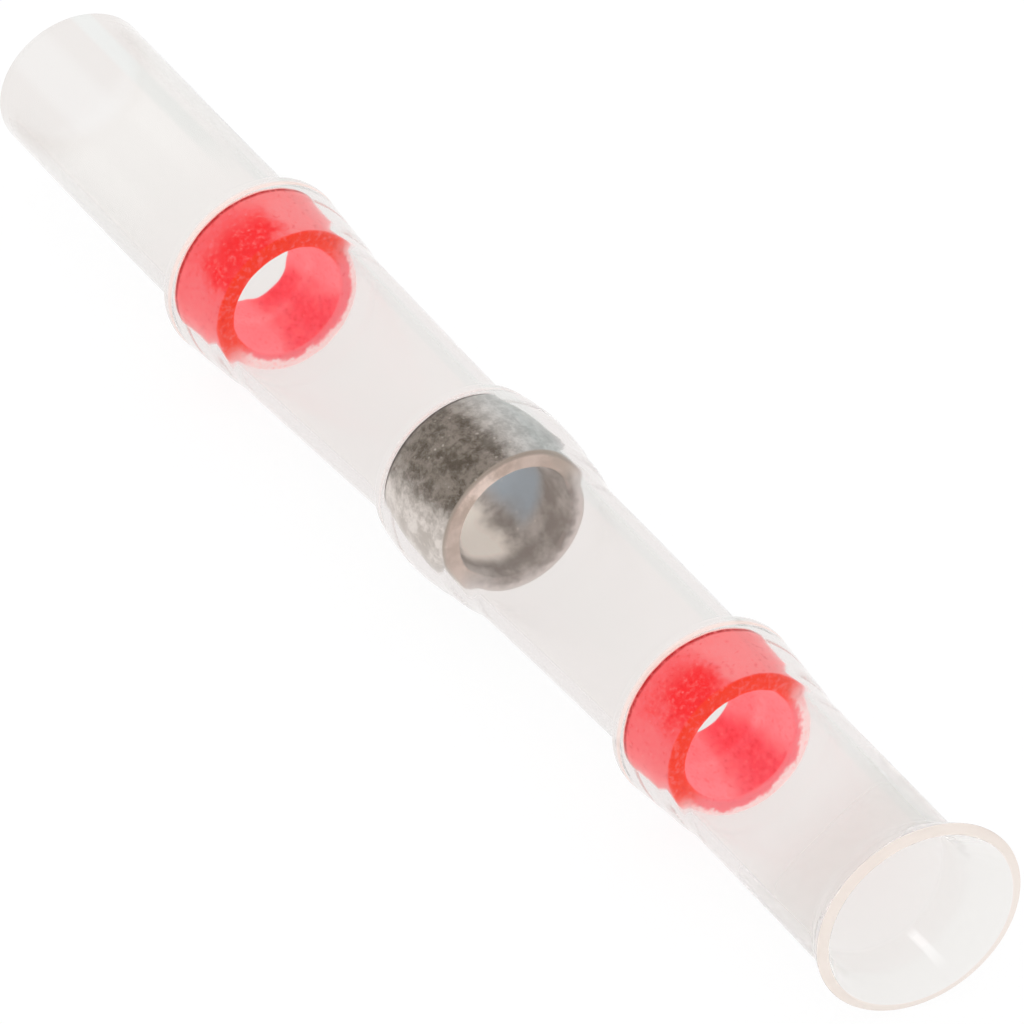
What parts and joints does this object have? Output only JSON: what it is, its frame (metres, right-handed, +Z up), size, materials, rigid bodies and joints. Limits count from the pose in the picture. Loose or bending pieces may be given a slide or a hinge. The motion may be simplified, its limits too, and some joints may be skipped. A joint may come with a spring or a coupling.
{
  "type": "heat shrink butt connector",
  "caption": "Clear heat shrink sleeve that holds a solder ring at its middle and a hot-melt sealing ring towards each end, to join and seal wires end to end.",
  "frame": {"origin": "on the surface that the connector lies on, below the middle of its length and of its width", "axes": "+X along the sleeve, towards its flared mouth; +Z up"},
  "size_m": [0.0404, 0.0054, 0.0053],
  "materials": {
    "clear_sleeve": "clear, slightly milky polyolefin with a soft gloss",
    "red_sealant": "see-through red hot-melt, smooth with small specks and bubbles",
    "solder": "dull grey low-melt solder, mottled brown by its flux"
  },
  "bodies": {
    "root": {"heat_shrink_sleeve": "clear_sleeve", "rear_sealing_ring": "red_sealant", "front_sealing_ring": "red_sealant", "solder_ring": "solder"}
  },
  "joints": []
}
